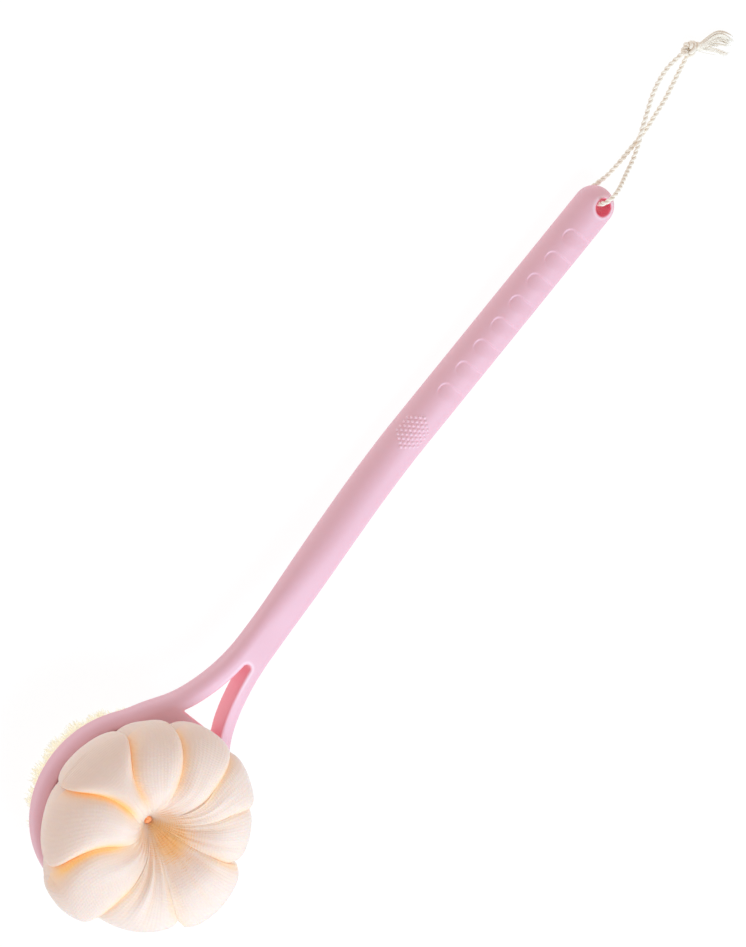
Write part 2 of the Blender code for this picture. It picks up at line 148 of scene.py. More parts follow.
class Nodes:
    """A short way to write a material's node tree."""

    def __init__(self, name):
        self.material = bpy.data.materials.new(name)
        self.material.use_nodes = True
        self.tree = self.material.node_tree
        self.shader = self.tree.nodes["Principled BSDF"]

    def link(self, target, value):
        if isinstance(value, bpy.types.NodeSocket):
            self.tree.links.new(value, target)
        else:
            target.default_value = value

    def add(self, kind, settings=None, **inputs):
        node = self.tree.nodes.new(kind)
        for key, value in (settings or {}).items():
            setattr(node, key, value)
        for key, value in inputs.items():
            self.link(node.inputs[key.replace("_", " ")], value)
        return node

    def maths(self, operation, *values):
        node = self.tree.nodes.new("ShaderNodeMath")
        node.operation = operation
        for socket, value in zip(node.inputs, values):
            self.link(socket, value)
        return node.outputs[0]

    def mix(self, factor, a, b):
        node = self.tree.nodes.new("ShaderNodeMix")
        node.data_type = "RGBA"
        self.link(node.inputs[0], factor)
        self.link(node.inputs[6], a)
        self.link(node.inputs[7], b)
        return node.outputs[2]

    def noise(self, scale, detail=2.0):
        """Noise over the object's own coordinates, in metres."""
        place = self.add("ShaderNodeTexCoord").outputs["Object"]
        node = self.add("ShaderNodeTexNoise", Scale=scale, Detail=detail, Vector=place)
        return node.outputs["Fac"]

    def attribute(self, name):
        return self.add("ShaderNodeAttribute", {"attribute_name": name}).outputs["Fac"]

    def range(self, value, low, high, to_low=0.0, to_high=1.0):
        node = self.tree.nodes.new("ShaderNodeMapRange")
        names = ("From Min", "From Max", "To Min", "To Max")
        for key, number in zip(names, (low, high, to_low, to_high)):
            node.inputs[key].default_value = number
        self.link(node.inputs["Value"], value)
        return node.outputs["Result"]

    def bump(self, height, distance, strength):
        node = self.add("ShaderNodeBump", Height=height, Distance=distance, Strength=strength)
        return node.outputs["Normal"]

    def set(self, **inputs):
        for key, value in inputs.items():
            self.link(self.shader.inputs[key.replace("_", " ")], value)
        return self.material


def colour(r, g, b):
    return (r, g, b, 1.0)


def plain_floor_material():
    m = Nodes("studio_floor")
    speckle = m.noise(300.0)
    return m.set(
        Base_Color=m.mix(speckle, colour(0.09, 0.09, 0.09), colour(0.11, 0.11, 0.11)),
        Roughness=0.9,
        Specular_IOR_Level=0.0,
        Emission_Color=colour(1, 1, 1),
        Emission_Strength=FLOOR_GLOW,
    )


def pink_plastic():
    m = Nodes("soft_touch_plastic")
    clouds = m.noise(18.0, 3.0)
    grain = m.noise(2600.0, 2.0)
    # painted light: the walls of the fork's window and of the hanging hole are tinted deep red and
    # glow faintly, standing for light passing through the thin pink plastic
    inner, hole = m.attribute("inner"), m.attribute("hole")
    tint = m.mix(clouds, colour(0.83, 0.475, 0.555), colour(0.86, 0.505, 0.585))
    # painted highlight: the raised dots are tinted lighter pink as they rise
    tint = m.mix(m.maths("MULTIPLY", m.attribute("raised"), 0.85), tint, colour(1.0, 0.70, 0.79))
    tint = m.mix(inner, tint, colour(0.93, 0.36, 0.43))
    tint = m.mix(hole, tint, colour(0.90, 0.17, 0.27))
    # painted highlight: a pale band along the rounded upper rims of the window and the hole
    tint = m.mix(m.attribute("rim"), tint, colour(0.99, 0.78, 0.84))
    return m.set(
        Base_Color=tint,
        Roughness=m.range(clouds, 0.3, 0.7, 0.5, 0.58),
        Specular_IOR_Level=0.85,
        Emission_Color=tint,
        # painted glow on the walls of the window and the hole
        Emission_Strength=m.maths("MULTIPLY", m.maths("MAXIMUM", inner, hole), 0.05),
        Subsurface_Weight=0.12,
        Subsurface_Radius=(1.0, 0.45, 0.4),
        Subsurface_Scale=0.004,
        Normal=m.bump(grain, 0.00002, 0.35),
    )


def make_floor():
    bm = bmesh.new()
    bmesh.ops.create_grid(bm, x_segments=1, y_segments=1, size=FLOOR_HALF)
    mesh = bpy.data.meshes.new("studio_floor")
    bm.to_mesh(mesh)
    bm.free()
    mesh.materials.append(plain_floor_material())
    floor = bpy.data.objects.new("studio_floor", mesh)
    floor.location.z = CAD_LOW.z - FLOOR_GAP
    bpy.context.scene.collection.objects.link(floor)


# ---- mesh helpers ---------------------------------------------------------------------------

SLOPE_STEP = 0.02  # for measuring a distance's slope
MOST_MOVE = 0.6  # that a point settles by in one round
OUTSIDE = 9.0  # a distance for what is plainly off the surface


def add_piece(name, points, faces, material, body="scrubber", replaces=()):
    """A piece from points in millimetres round the head's centre, riding on a body."""
    mesh = bpy.data.meshes.new(name)
    placed = np.asarray(points, float) * MM + np.array(HEAD)
    mesh.from_pydata(placed.tolist(), [], [list(map(int, f)) for f in faces])
    mesh.shade_smooth()
    mesh.materials.append(material)
    piece = bpy.data.objects.new(name, mesh)
    bpy.context.scene.collection.objects.link(piece)
    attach(piece, body)
    if replaces:
        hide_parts(*replaces)
    return piece


def add_attribute(piece, name, values):
    """One number for each point of a piece, for its material to read."""
    attribute = piece.data.attributes.new(name, "FLOAT", "POINT")
    attribute.data.foreach_set("value", np.asarray(values, np.float32))


def smooth_step(t):
    t = np.clip(t, 0.0, 1.0)
    return t * t * (3 - 2 * t)


def soft_max(a, b, width):
    """The larger of two distances, with the corner between them rounded."""
    share = np.clip(0.5 + 0.5 * (a - b) / width, 0.0, 1.0)
    return b + (a - b) * share + width * share * (1 - share)


def gradient(distance, points):
    parts = []
    for axis in range(3):
        step = np.zeros(3)
        step[axis] = SLOPE_STEP
        parts.append((distance(points + step) - distance(points - step)) / (2 * SLOPE_STEP))
    return np.stack(parts, 1)


def settle(distance, points, rounds):
    """Moves points onto the surface where the distance is zero."""
    for _ in range(rounds):
        slope = gradient(distance, points)
        size = np.maximum((slope**2).sum(1), 0.05)
        move = (distance(points) / size)[:, None] * slope
        length = np.linalg.norm(move, axis=1, keepdims=True)
        points = points - move * np.minimum(1.0, MOST_MOVE / np.maximum(length, 1e-9))
    return points


def relax(points, faces):
    """Moves each point to the middle of its neighbours along the quads' edges."""
    total = np.zeros_like(points)
    count = np.zeros(len(points))
    for a, b in ((0, 1), (1, 2), (2, 3), (3, 0)):
        for i, j in ((a, b), (b, a)):
            np.add.at(total, faces[:, i], points[faces[:, j]])
            np.add.at(count, faces[:, i], 1)
    return total / count[:, None]


def skin(distance, boxes, step):
    """A closed mesh of quads on the surface where distance(points) is zero, inside the boxes."""
    low = np.min([b[0] for b in boxes], axis=0) - step
    high = np.max([b[1] for b in boxes], axis=0) + step
    counts = np.ceil((high - low) / step).astype(int) + 1
    field = np.full(counts, OUTSIDE, np.float32)
    for box_low, box_high in boxes:
        first = np.maximum(np.floor((np.array(box_low) - low) / step).astype(int), 0)
        last = np.minimum(np.ceil((np.array(box_high) - low) / step).astype(int) + 1, counts)
        axes = [low[i] + step * np.arange(first[i], last[i]) for i in range(3)]
        points = np.stack(np.meshgrid(*axes, indexing="ij"), -1).reshape(-1, 3)
        shape = tuple(last - first)
        region = tuple(slice(a, b) for a, b in zip(first, last))
        field[region] = distance(points).reshape(shape)
    inside = field < 0
    corners = [(i, j, k) for i in (0, 1) for j in (0, 1) for k in (0, 1)]
    cells = tuple(c - 1 for c in counts)
    number = np.zeros(cells, np.uint8)
    for i, j, k in corners:
        number += inside[i:i + cells[0], j:j + cells[1], k:k + cells[2]]
    where = np.argwhere((number > 0) & (number < 8))
    index = np.full(cells, -1, np.int32)
    index[tuple(where.T)] = np.arange(len(where))
    total = np.zeros((len(where), 3))
    count = np.zeros(len(where))
    for a in corners:
        for axis in range(3):
            if a[axis]:
                continue
            b = tuple(1 if n == axis else a[n] for n in range(3))
            da = field[tuple((where + a).T)].astype(float)
            db = field[tuple((where + b).T)].astype(float)
            crossing = (da < 0) != (db < 0)
            part = np.where(crossing, da / np.where(crossing, da - db, 1), 0)
            point = np.array(a) + part[:, None] * (np.array(b) - a)
            total += np.where(crossing[:, None], point, 0)
            count += crossing
    points = low + step * (where + total / count[:, None])
    faces = []
    for axis in range(3):
        one, two = [n for n in range(3) if n != axis]
        ahead = np.roll(inside, -1, axis)
        edges = np.argwhere(inside != ahead)
        quad = []
        for s, t in ((-1, -1), (0, -1), (0, 0), (-1, 0)):
            cell = edges.copy()
            cell[:, one] += s
            cell[:, two] += t
            quad.append(index[tuple(cell.T)])
        quad = np.stack(quad, 1)
        flip = inside[tuple(edges.T)] == (axis == 1)
        quad[flip] = quad[flip][:, ::-1]
        faces.append(quad)
    faces = np.concatenate(faces)
    for _ in range(3):
        points = settle(distance, relax(points, faces), 2)
    return settle(distance, points, 3), faces


# ---- handle ---------------------------------------------------------------------------------

HEAD_RADIUS = 44.6
HEAD_Z = 22.5
HEAD_HALF_DEPTH = 5.7
RIM_ROUND = 4.2
RIM_WIDTH = 5.8
LIP_HEIGHT = 1.7  # of the rim's inner edge over the web, where its slope starts
LIP_SLOPE = 0.84
LIP_SCALE = 0.77  # makes the sloping lip's value a true distance
WEB_TOP_Z = 25.2
WEB_THICK = 2.3
TIE_HOLE_RADIUS = 1.3
NECK_X = 90.0
NECK_HALF_WIDTH = 8.5
SHOULDER = 1.3  # the fork's outer sides swell this much where they leave the head
SHOULDER_X = 41.0
ARM_WIDTH = 7.3
WINDOW_BASE_X = 48.2
WINDOW_CORNER = 1.6
CROTCH_X = 79.3
GRIP_RADIUS = 9.0
GRIP_Z = 9.0
RISE_START_X = 65.0
RISE_END_X = 204.0
NECK_SECTION_END_X = 150.0
GRIP_BLEND_X = 84.0  # where the flat head's section starts to turn into the grip's
GRIP_BLEND_LENGTH = 26.0
TIP_BALL_X = TIP_X - GRIP_RADIUS  # the middle of the tip's rounding
HOLE_X = 331.7
HOLE_RADIUS = 3.7
RELIEF_Z = 3.2
RELIEF_X = 317.0
DETAIL_START_X = 190.0
MARKS_START_X = 220.0  # the dots are before this, the thumb marks beyond
MARK_COUNT = 8
MARK_DEPTH = 0.65
FIRST_MARK_X = 223.4
MARK_PITCH = 12.25
MARK_LENGTH = 7.0
MARK_HALF_REACH = 7.8
MARK_AROUND = -0.5  # the marks' middle, round the grip from its top line
DOT_PATCH_X = 204.2
DOT_PATCH_HALF = 11.0  # half the length that is meshed finer for the dots
DOT_ROWS = (4, 5, 6, 7, 8, 7, 6, 5, 4)
DOT_PATCH_AROUND = 4.0
DOT_PITCH = 2.32
DOT_ROW_PITCH = 1.56
DOT_RADIUS = 0.92
DOT_HEIGHT = 0.65
HANDLE_STEP = 0.6  # the handle's mesh size


def handle_axis_z(x):
    drop = smooth_step((RISE_END_X - x) / (RISE_END_X - RISE_START_X))
    return GRIP_Z + (HEAD_Z - GRIP_Z) * drop


def fork_arc():
    """Centre and radius of the arc that joins the head's circle to the neck's side."""
    a, b, r = NECK_X, NECK_HALF_WIDTH, HEAD_RADIUS
    radius = (a * a + b * b - r * r) / (2 * (r - b))
    return a, b + radius, radius


def outline_distance(x, y):
    """Distance, from above, to the head's circle, the fork's outer sides and the neck's sides."""
    side = np.abs(y)
    centre_x, centre_y, radius = fork_arc()
    circle = np.hypot(x, side) - HEAD_RADIUS
    arc = radius - np.hypot(x - centre_x, side - centre_y)
    beyond = x * centre_y - side * centre_x > 0
    shoulder = SHOULDER * np.exp(-(((x - SHOULDER_X) / 8) ** 2))
    head = np.where(beyond, arc, circle) - shoulder
    return np.where(x > centre_x, side - NECK_HALF_WIDTH, head)


def rounded_slab(outline, height, half_depth, rounding):
    """Distance to a slab with the given outline and rounded edges."""
    a = outline + rounding
    b = np.abs(height) - (half_depth - rounding)
    outside = np.hypot(np.maximum(a, 0), np.maximum(b, 0))
    return outside + np.minimum(np.maximum(a, b), 0) - rounding


def grip_distance(x, y, height):
    """The neck's and grip's oval section, with a ball at the tip."""
    flat = smooth_step((NECK_SECTION_END_X - x) / (NECK_SECTION_END_X - NECK_X))
    half_width = GRIP_RADIUS + (NECK_HALF_WIDTH - GRIP_RADIUS) * flat
    half_height = GRIP_RADIUS + (HEAD_HALF_DEPTH - GRIP_RADIUS) * flat
    power = 2 + 0.8 * flat
    end = np.maximum(x - TIP_BALL_X, 0) / GRIP_RADIUS
    across = np.maximum(np.abs(y) / half_width, 1e-6)
    up = np.maximum(np.abs(height) / half_height, 1e-6)
    total = across**power + up**power + np.where(end > 0, end**2, 0)
    size = np.maximum(total, 1e-6) ** (1 / power)
    rate = np.maximum(total, 1e-6) ** (1 / power - 1)
    slope = np.hypot(across ** (power - 1) / half_width, up ** (power - 1) / half_height)
    slope = np.hypot(slope, end / GRIP_RADIUS) * rate
    return (size - 1) / np.maximum(slope, 0.02)


def window_distance(x, y, outline):
    """The gap in the fork: inside the arms, past the straight base, up to the round crotch."""
    centre_x, centre_y, radius = fork_arc()
    crotch_radius = centre_y - math.sqrt((radius + ARM_WIDTH) ** 2 - (CROTCH_X - centre_x) ** 2)
    sides = soft_max(outline + ARM_WIDTH, WINDOW_BASE_X - x, WINDOW_CORNER)
    crotch = np.hypot(x - CROTCH_X, y) - crotch_radius
    return np.where(x > CROTCH_X, crotch, sides)


def mark_depth(x, around):
    """Depth of the thumb marks: long ovals across the grip, deepest towards its tip and +Y."""
    nearest = np.round((x - FIRST_MARK_X - MARK_LENGTH / 2) / MARK_PITCH)
    nearest = np.clip(nearest, 0, MARK_COUNT - 1)
    along = x - (FIRST_MARK_X + MARK_LENGTH / 2 + MARK_PITCH * nearest)
    corner = MARK_LENGTH / 2 - 0.4
    a = np.abs(along) - (MARK_LENGTH / 2 - corner)
    b = np.abs(around - MARK_AROUND) - (MARK_HALF_REACH - corner)
    edge = np.hypot(np.maximum(a, 0), np.maximum(b, 0)) + np.minimum(np.maximum(a, b), 0) - corner
    slant = 0.5 + 0.5 * along / (MARK_LENGTH / 2) + 0.35 * around / MARK_HALF_REACH
    return MARK_DEPTH * smooth_step(slant) * smooth_step(0.5 - edge / 0.8)


def dot_height(x, around):
    """The patch of small raised dots, in staggered rows along the grip."""
    height = np.zeros_like(x)
    middle_row = len(DOT_ROWS) // 2
    for row, count in enumerate(DOT_ROWS):
        across = (row - middle_row) * DOT_ROW_PITCH + DOT_PATCH_AROUND
        for k in range(count):
            along = DOT_PATCH_X + (k - (count - 1) / 2) * DOT_PITCH
            away = np.hypot(x - along, around - across) / DOT_RADIUS
            height += DOT_HEIGHT * smooth_step(1.0 - away)
    return height


def around_grip(y, z):
    """How far round the grip a point is from the grip's top line, positive towards +Y."""
    return GRIP_RADIUS * np.arctan2(y, z - GRIP_Z)


def plain_handle_distance(points):
    """The handle without its thumb marks and dots."""
    x, y, z = points[:, 0], points[:, 1], points[:, 2]
    height = z - handle_axis_z(x)
    outline = outline_distance(x, y)
    slab = rounded_slab(outline, height, HEAD_HALF_DEPTH, RIM_ROUND)
    to_grip = smooth_step((x - GRIP_BLEND_X) / GRIP_BLEND_LENGTH)
    solid = slab * (1 - to_grip) + grip_distance(x, y, height) * to_grip
    reach = np.hypot(x, y)
    inner = HEAD_RADIUS - RIM_WIDTH
    lip = (reach - inner - (z - WEB_TOP_Z - LIP_HEIGHT) * LIP_SLOPE) * LIP_SCALE
    hollow = np.maximum(lip, WEB_TOP_Z - z)
    solid = soft_max(solid, -hollow, 0.9)
    pocket = np.maximum(reach - inner, z - (WEB_TOP_Z - WEB_THICK))
    solid = soft_max(solid, -pocket, 0.5)
    solid = soft_max(solid, TIE_HOLE_RADIUS - reach, 0.4)
    solid = soft_max(solid, -window_distance(x, y, outline), 1.1)
    solid = soft_max(solid, HOLE_RADIUS - np.hypot(x - HOLE_X, y), 1.1)
    return soft_max(solid, np.minimum(x - RELIEF_X, RELIEF_Z - z), 0.8)


def handle_distance(points):
    x, y, z = points[:, 0], points[:, 1], points[:, 2]
    around = around_grip(y, z)
    front = (x > DETAIL_START_X) & (x < HOLE_X) & (z > GRIP_Z)
    marks = np.where(front & (x > MARKS_START_X), mark_depth(x, around), 0)
    dots = np.where(front & (x < MARKS_START_X), dot_height(x, around), 0)
    return plain_handle_distance(points) + marks - dots


def refine(points, faces, chosen):
    """Cuts each of the chosen faces into nine."""
    mesh = bpy.data.meshes.new("refine")
    mesh.from_pydata(points.tolist(), [], faces.tolist())
    bm = bmesh.new()
    bm.from_mesh(mesh)
    bm.faces.ensure_lookup_table()
    edges = {e for i in np.flatnonzero(chosen) for e in bm.faces[i].edges}
    bmesh.ops.subdivide_edges(bm, edges=list(edges), cuts=2, use_grid_fill=True)
    bm.verts.index_update()
    points = np.array([v.co for v in bm.verts])
    faces = [[v.index for v in f.verts] for f in bm.faces]
    bm.free()
    bpy.data.meshes.remove(mesh)
    return points, faces


def painted_wall_light(points):
    """How much a point is on the walls inside the fork's window, on those of the hanging hole, or
    on the rounded rims round the two. These masks paint light: a deep red glow on the walls and a
    painted highlight along the upper rims."""
    x, y = points[:, 0], points[:, 1]
    window = window_distance(x, y, outline_distance(x, y))
    window = np.where((x > WINDOW_BASE_X - 3) & (x < CROTCH_X + 8), window, OUTSIDE)
    hole = np.hypot(x - HOLE_X, y) - HOLE_RADIUS
    # painted deep red glow on the walls of the window and the hole
    window_wall_glow = 0.75 * (1 - smooth_step((window - 0.15) / 0.9))
    hole_wall_glow = 1 - smooth_step((hole - 0.1) / 0.6)
    top = smooth_step(points[:, 2] - handle_axis_z(x))
    # painted highlight on the rims, on the upper side only
    rim_highlight = np.exp(-(((window - 1.3) / 0.6) ** 2)) + np.exp(-(((hole - 1.1) / 0.5) ** 2))
    return window_wall_glow, hole_wall_glow, 0.55 * rim_highlight * top * smooth_step((x - 60) / 18)


def build_handle():
    boxes = (
        ((-47, -47, 14), (104, 47, 31)),
        ((100, -12, -2), (200, 12, 31)),
        ((196, -12, -2), (TIP_X + 2, 12, 20)),
    )
    points, faces = skin(plain_handle_distance, boxes, HANDLE_STEP)
    middle = points[faces].mean(1)
    around = around_grip(middle[:, 1], middle[:, 2])
    last_mark = FIRST_MARK_X + MARK_PITCH * (MARK_COUNT - 1) + MARK_LENGTH
    marks = (middle[:, 0] > FIRST_MARK_X - 1) & (middle[:, 0] < last_mark + 1)
    marks &= np.abs(around) < MARK_HALF_REACH + 1
    dots = np.abs(middle[:, 0] - DOT_PATCH_X) < DOT_PATCH_HALF
    dots &= np.abs(around - DOT_PATCH_AROUND) < DOT_ROW_PITCH * len(DOT_ROWS) / 2 + 1
    points, faces = refine(points, faces, marks | dots)
    points = settle(handle_distance, points, 3)
    handle = add_piece(
        "handle_moulding", points, faces, pink_plastic(), replaces=["handle"]
    )
    for name, values in zip(("inner", "hole", "rim"), painted_wall_light(points)):
        add_attribute(handle, name, values)
    # the dots' height also paints them lighter pink, as a painted highlight
    around = around_grip(points[:, 1], points[:, 2])
    add_attribute(handle, "raised", dot_height(points[:, 0], around) / DOT_HEIGHT)


# ---- bristle side ---------------------------------------------------------------------------

TUFT_RING_STEP = 10.4
TUFT_RINGS = 3
TUFT_BASE_RADIUS = 2.5
TUFT_TIP_RADIUS = 5.0
SOCKET_RADIUS = 2.8
SOCKET_DEPTH = 2.0
TUFT_SEED = 37
OUTER_TUFTS = 25.0  # tufts further out than this are the ones whose edges show
FILAMENTS = 160
OUTER_FILAMENTS = 430
FILAMENT_RADIUS = 0.15
FILAMENT_TIP_SHARE = 0.72  # a filament's radius at its tip, as a share
FILAMENT_BEND = 0.45
FILAMENT_RINGS = 5


def tuft_places():
    """One tuft in the middle and rings of 6, 12 and 18 round it."""
    places = [(0.0, 0.0)]
    for ring in range(1, TUFT_RINGS + 1):
        count = 6 * ring
        for k in range(count):
            turn = 2 * math.pi * (k + 0.5 * (ring % 2)) / count
            reach = ring * TUFT_RING_STEP
            places.append((reach * math.cos(turn), reach * math.sin(turn)))
    return places


def plate_distance(points):
    x, y, z = points[:, 0], points[:, 1], points[:, 2]
    middle = (PLATE_LOW + PLATE_TOP) / 2
    half_depth = (PLATE_TOP - PLATE_LOW) / 2
    disc = rounded_slab(np.hypot(x, y) - PLATE_RADIUS, z - middle, half_depth, 0.5)
    nearest = np.full(len(points), np.inf)
    for cx, cy in tuft_places():
        nearest = np.minimum(nearest, np.hypot(x - cx, y - cy))
    socket = np.maximum(nearest - SOCKET_RADIUS, z - (PLATE_LOW + SOCKET_DEPTH))
    return soft_max(disc, -socket, 0.6)


def plate_plastic():
    m = Nodes("bristle_plate_plastic")
    clouds = m.noise(40.0, 3.0)
    grain = m.noise(2200.0, 2.0)
    return m.set(
        Base_Color=m.mix(clouds, colour(0.80, 0.50, 0.58), colour(0.83, 0.53, 0.61)),
        Roughness=m.range(clouds, 0.3, 0.7, 0.42, 0.52),
        Subsurface_Weight=0.12,
        Subsurface_Radius=(1.0, 0.45, 0.4),
        Subsurface_Scale=0.003,
        Normal=m.bump(grain, 0.00002, 0.35),
    )


def bristle_material():
    m = Nodes("bristle_filament")
    base = m.mix(m.attribute("shade"), colour(0.95, 0.87, 0.66), colour(0.98, 0.95, 0.84))
    return m.set(
        Base_Color=base,
        Roughness=0.42,
        Subsurface_Weight=0.25,
        Subsurface_Radius=(1.0, 0.85, 0.5),
        Subsurface_Scale=0.001,
        # painted light: a faint glow brightens the filaments where the head and the floor shade
        # them
        Emission_Color=base,
        Emission_Strength=0.2,
        Normal=m.bump(m.noise(4000.0, 1.0), 0.00001, 0.3),
    )


def thin_tubes(lines, radii, sides):
    """Closed tubes along lines of points: lines is (tube, ring, xyz), radii is (tube, ring)."""
    count, rings = lines.shape[:2]
    ahead = np.gradient(lines, axis=1)
    ahead /= np.linalg.norm(ahead, axis=2, keepdims=True)
    helper = np.where(np.abs(ahead[..., 2:3]) < 0.8, (0.0, 0.0, 1.0), (1.0, 0.0, 0.0))
    first = np.cross(ahead, helper)
    first /= np.linalg.norm(first, axis=2, keepdims=True)
    second = np.cross(ahead, first)
    turns = 2 * np.pi * np.arange(sides) / sides
    ring = first[:, :, None] * np.cos(turns)[:, None] + second[:, :, None] * np.sin(turns)[:, None]
    points = lines[:, :, None] + ring * radii[:, :, None, None]
    start = (np.arange(count) * rings * sides)[:, None, None]
    row = (np.arange(rings - 1) * sides)[None, :, None]
    k = np.arange(sides)[None, None, :]
    after = (k + 1) % sides
    a, b = start + row + k, start + row + after
    walls = np.stack((a, b, b + sides, a + sides), -1).reshape(-1, 4).tolist()
    low = (start[:, 0] + np.arange(sides)[::-1]).tolist()
    high = (start[:, 0] + (rings - 1) * sides + np.arange(sides)).tolist()
    return points.reshape(-1, 3), walls + low + high


def build_tuft(index, x, y, material, random):
    """A bundle of fine filaments that spread towards their tips."""
    away = math.hypot(x, y)
    count = OUTER_FILAMENTS if away > OUTER_TUFTS else FILAMENTS
    reach = np.sqrt(random.random(count))
    turn = random.random(count) * 2 * np.pi
    outward = np.stack((np.cos(turn), np.sin(turn)), 1)
    place = np.array((x, y))
    bend = random.normal(0, FILAMENT_BEND, (count, 2))
    tip_z = random.random(count) ** 2 * 1.1 + 0.15
    root_z = PLATE_LOW + SOCKET_DEPTH - 0.3
    t = np.linspace(0, 1, FILAMENT_RINGS)[None, :, None]
    root = place + outward * (reach * (TUFT_BASE_RADIUS - 0.2))[:, None]
    lean = 1 + 0.07 * smooth_step((away - OUTER_TUFTS) / 6)
    sideways = np.array((-y, x)) / max(away, 1)
    spread = outward + 0.35 * (outward @ sideways)[:, None] * sideways
    tip = place * lean + spread * (reach * TUFT_TIP_RADIUS)[:, None] + bend
    flat = root[:, None] * (1 - t) + tip[:, None] * t + outward[:, None] * (0.5 * t * (1 - t))
    height = root_z + (tip_z[:, None] - root_z) * t[..., 0]
    lines = np.concatenate((flat, height[..., None]), 2)
    radii = FILAMENT_RADIUS * np.linspace(1.0, FILAMENT_TIP_SHARE, FILAMENT_RINGS)
    points, faces = thin_tubes(lines, radii[None, :].repeat(count, 0), 4)
    node = f"bristle_tuft_{index + 1:02d}"
    piece = add_piece(
        node + "_filaments", points, faces, material, replaces=[node]
    )
    add_attribute(piece, "shade", np.repeat(random.random(count), len(points) // count))


def build_bristle_side():
    reach = PLATE_RADIUS + 1
    box = ((-reach, -reach, PLATE_LOW - 1), (reach, reach, PLATE_TOP + 1))
    points, faces = skin(plate_distance, [box], 0.5)
    add_piece(
        "bristle_plate_disc",
        points,
        faces,
        plate_plastic(),
        replaces=["bristle_plate"],
    )
    material = bristle_material()
    random = np.random.default_rng(TUFT_SEED)
    for index, (x, y) in enumerate(tuft_places()):
        build_tuft(index, x, y, material, random)


# ---- puff -----------------------------------------------------------------------------------

PUFF_Z = 49.0
CREST_RADIUS = 27.0  # where the top of the puff is highest, from its middle
CREST_Z = 72.0
CREST_COLUMNS = 43  # points of a section from the middle out to the crest
RIM_COLUMNS = 40  # points of a section from the crest out to the rim
FUNNEL_Z = 42.5
FUNNEL_X = 2.5  # the gathered middle sits a little towards the handle and one side
FUNNEL_Y = 1.6
PUFF_INNER = 2.0  # where the petals start, from the middle
PUFF_SEED = 9
PETAL_GAP = 0.06
PETAL_ROWS = 64  # from one side of a petal to the other
KNIT = 1.25  # pitch of the net
# Each groove between two petals: the direction of its outer, middle and inner part in degrees from
# the handle, how deep it is cut and how deep its painted orange shade gets
GROOVES = (
    (146, 130, 142, 1.0, 0.95),
    (101, 89, 99, 1.0, 0.8),
    (55, 69, 69, 1.0, 0.5),
    (28, 30, 38, 1.0, 0.45),
    (-6, -2, -10, 0.6, 0.4),
    (-41, -31, -38, 0.45, 0.25),
    (-75, -74, -76, 0.8, 0.4),
    (-120, -131, -137, 0.5, 0.2),
    (-177, -182, -172, 0.6, 0.45),
)
GROOVE_REACH = (47.0, 32.0, 14.0)  # distances from the middle that those directions are for
# Each petal: its radius at its first and last side, and the size and number of its creases
PETALS = (
    (49.4, 49.0, 0.10, 4),
    (51.0, 48.8, 0.12, 5),
    (49.0, 49.4, 0.15, 5),
    (50.0, 49.8, 0.12, 4),
    (49.4, 47.8, 0.15, 5),
    (46.6, 42.2, 0.18, 5),
    (47.6, 50.4, 0.25, 6),
    (45.4, 45.0, 0.4, 5),
    (49.9, 53.2, 0.15, 4),
)


def groove_direction(groove, reach):
    """A groove's direction, in radians, at each distance from the middle."""
    outer, middle, inner = GROOVE_REACH
    r = np.clip(reach, 9.0, 49.0)
    total = groove[0] * (r - middle) * (r - inner) / ((outer - middle) * (outer - inner))
    total = total + groove[1] * (r - outer) * (r - inner) / ((middle - outer) * (middle - inner))
    total = total + groove[2] * (r - outer) * (r - middle) / ((inner - outer) * (inner - middle))
    return np.radians(total)


def petal_outline():
    """The puff's section out from its middle: the reach as far as the crest, the share of the way
    from the crest to the rim, and the heights of the upper and the lower side."""
    inner = np.linspace(PUFF_INNER, CREST_RADIUS, CREST_COLUMNS + 1)[:-1]
    turn = np.linspace(np.pi / 2, 0, RIM_COLUMNS)
    out = np.concatenate((np.zeros(len(inner)), np.cos(turn)))
    reach = np.concatenate((inner, np.full(len(turn), CREST_RADIUS)))
    rise = (CREST_Z - FUNNEL_Z) * np.sin(np.pi / 2 * inner / CREST_RADIUS)
    top = np.concatenate((FUNNEL_Z + rise, PUFF_Z + (CREST_Z - PUFF_Z) * np.sin(turn)))
    under = PUFF_Z - (PUFF_Z - PUFF_LOW) * np.sin(turn)
    low = np.concatenate((np.full(len(inner), PUFF_LOW), under))
    return reach, out, top, low


def shrink(reach, height, amount, outward):
    """Moves a section's points square to it, towards its inside."""
    along_r, along_z = np.gradient(reach, axis=1), np.gradient(height, axis=1)
    size = np.maximum(np.hypot(along_r, along_z), 1e-9)
    return reach + outward * amount * along_z / size, height - outward * amount * along_r / size


def groove_cut(share, width, reach, depth):
    """How far the net is drawn in at a share of the way from a groove to the petal's middle."""
    away = share * width
    outer, inner = smooth_step((reach - 20) / 24), smooth_step((reach - 10) / 22)
    sharp = (0.2 + 1.8 * inner + 1.6 * outer) * np.exp(-((away / (3.6 - 1.0 * outer)) ** 1.2))
    soft = (0.5 + 2.4 * smooth_step((reach - 5) / 16) * (1 - 0.75 * outer)) * (1 - share) ** 2
    return np.minimum(depth * (sharp + soft) * smooth_step(width / 9), 0.7 * width)


def round_trip(out, back):
    """Values of a section, out along its upper side and back along its lower side."""
    return np.concatenate((out, back[:, -2::-1]), 1)


def petal_faces(rows, ring, column):
    """Quads between a petal's sections, and a cap on each of its two sides."""
    faces = []
    for i in range(rows - 1):
        for k in range(ring):
            a, b = i * ring + k, i * ring + (k + 1) % ring
            faces.append((a, b, b + ring, a + ring))
    for base, flip in ((0, 1), ((rows - 1) * ring, -1)):
        for k in range(column - 1):
            below, next_below = ring - 1 - k, ring - 2 - k
            corners = [base + k, base + k + 1, base + next_below, base + below]
            if next_below == k + 1:
                corners.pop(2)
            faces.append(tuple(corners[::-flip]))
    return faces


